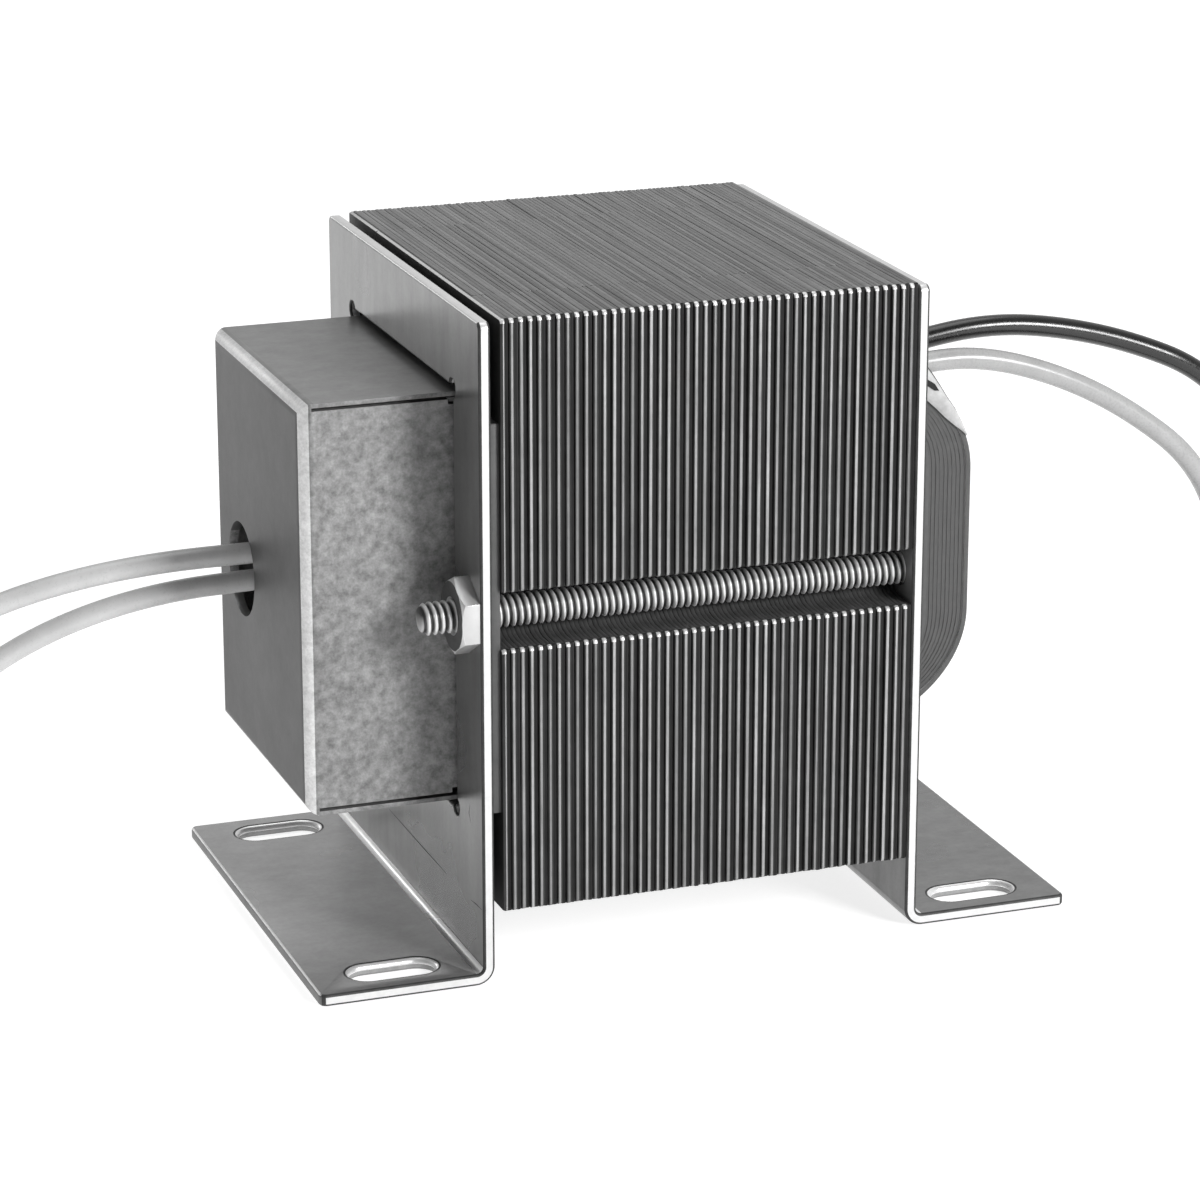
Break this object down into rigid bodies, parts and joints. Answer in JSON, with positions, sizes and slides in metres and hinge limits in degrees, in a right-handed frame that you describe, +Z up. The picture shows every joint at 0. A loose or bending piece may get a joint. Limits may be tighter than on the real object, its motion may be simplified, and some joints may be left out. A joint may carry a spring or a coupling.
{
  "type": "foot mount transformer",
  "caption": "Open-frame laminated power transformer on two slotted foot brackets, with a covered coil end and free wire leads.",
  "frame": {"origin": "centre of the four foot slots, on the plane that the feet stand on", "axes": "+X along the stack of laminations and from foot to foot, towards the bare coil end; +Y to the rear, along the coil's axis; +Z up"},
  "size_m": [0.2355, 0.0922, 0.0856],
  "materials": {
    "core_steel": "oxide-coated silicon steel, sheared edges bare and bright",
    "zinc_plated_steel": "bright zinc plate, satin",
    "galvanised_sheet": "galvanised sheet, faint mottling",
    "screw_steel": "zinc-plated steel",
    "kraft_paper": "layered insulating paper",
    "enamelled_copper": "enamelled copper wire with layer paper",
    "coil_wrap_paper": null,
    "grey_insulation": "extruded insulation, soft sheen",
    "black_insulation": "extruded insulation, soft sheen",
    "white_insulation": "extruded insulation, soft sheen",
    "tinned_copper": "tinned copper strands"
  },
  "bodies": {
    "root": {"e_laminations_front": "core_steel", "i_laminations_rear": "core_steel", "e_laminations_rear": "core_steel", "i_laminations_front": "core_steel", "left_bracket": "zinc_plated_steel", "right_bracket": "zinc_plated_steel", "coil_cover": "galvanised_sheet", "front_bolt": "screw_steel", "rear_bolt": "screw_steel", "front_nut": "screw_steel", "rear_nut": "screw_steel", "winding_tube": "kraft_paper", "interwinding_insulation": "kraft_paper", "primary_winding": "enamelled_copper", "secondary_winding": "enamelled_copper", "coil_wrap": "coil_wrap_paper", "secondary_lead_upper": "grey_insulation", "secondary_lead_upper_coil": "grey_insulation", "secondary_lead_upper_tip": "tinned_copper", "secondary_lead_lower": "grey_insulation", "secondary_lead_lower_coil": "grey_insulation", "secondary_lead_lower_tip": "tinned_copper", "primary_lead_black": "black_insulation", "primary_lead_black_coil": "black_insulation", "primary_lead_black_tip": "tinned_copper", "primary_lead_white": "white_insulation", "primary_lead_white_coil": "white_insulation", "primary_lead_white_tip": "tinned_copper"}
  },
  "joints": []
}
